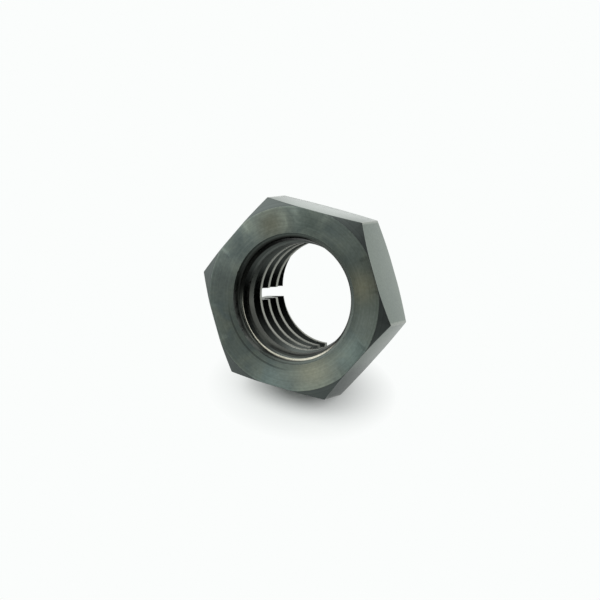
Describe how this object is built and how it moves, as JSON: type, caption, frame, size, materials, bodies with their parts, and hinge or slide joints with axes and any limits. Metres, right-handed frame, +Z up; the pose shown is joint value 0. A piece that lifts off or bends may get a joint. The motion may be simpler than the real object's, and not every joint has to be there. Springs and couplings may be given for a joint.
{
  "type": "hex nut",
  "caption": "Self-locking hex nut in blackened steel: countersunk metric thread, hexagon chamfered on both sides and a slotted collar whose spring tongues grip the bolt.",
  "frame": {"origin": "middle of the nut's box, on the surface that the nut lies on", "axes": "+X along the bottom edge of the hexagon, +Z up; the thread's axis is in the YZ plane and points down towards the collar, 26.3 degrees below +Y"},
  "size_m": [0.0196, 0.0146, 0.0174],
  "materials": {
    "blackened_hexagon": "black oxide over turned and drawn steel, satin",
    "blackened_collar": "black oxide over turned steel, bright thread crests"
  },
  "bodies": {
    "nut": {"hex_body": "blackened_hexagon"},
    "tongue_1": {"locking_tongue_1": "blackened_collar"},
    "tongue_2": {"locking_tongue_2": "blackened_collar"},
    "tongue_3": {"locking_tongue_3": "blackened_collar"},
    "tongue_4": {"locking_tongue_4": "blackened_collar"}
  },
  "joints": [
    {"name": "tongue_1_flex", "type": "hinge", "parent": "nut", "child": "tongue_1", "pos_m": [-0.00508, 0.00241, 0.01027], "axis": [0.512, 0.38, 0.7703], "range_deg": [0, 1.5], "stiffness_Nm_per_rad": 0.05},
    {"name": "tongue_2_flex", "type": "hinge", "parent": "nut", "child": "tongue_2", "pos_m": [0.00303, 0.00332, 0.01211], "axis": [0.859, -0.2265, -0.4592], "range_deg": [0, 1.5], "stiffness_Nm_per_rad": 0.05},
    {"name": "tongue_3_flex", "type": "hinge", "parent": "nut", "child": "tongue_3", "pos_m": [0.00508, -0.00027, 0.00484], "axis": [-0.512, -0.38, -0.7703], "range_deg": [0, 1.5], "stiffness_Nm_per_rad": 0.05},
    {"name": "tongue_4_flex", "type": "hinge", "parent": "nut", "child": "tongue_4", "pos_m": [-0.00303, -0.00117, 0.003], "axis": [-0.859, 0.2265, 0.4592], "range_deg": [0, 1.5], "stiffness_Nm_per_rad": 0.05}
  ],
  "couplings": [
    {"joint": "tongue_2_flex", "follows": "tongue_1_flex", "ratio": 1},
    {"joint": "tongue_3_flex", "follows": "tongue_1_flex", "ratio": 1},
    {"joint": "tongue_4_flex", "follows": "tongue_1_flex", "ratio": 1}
  ]
}
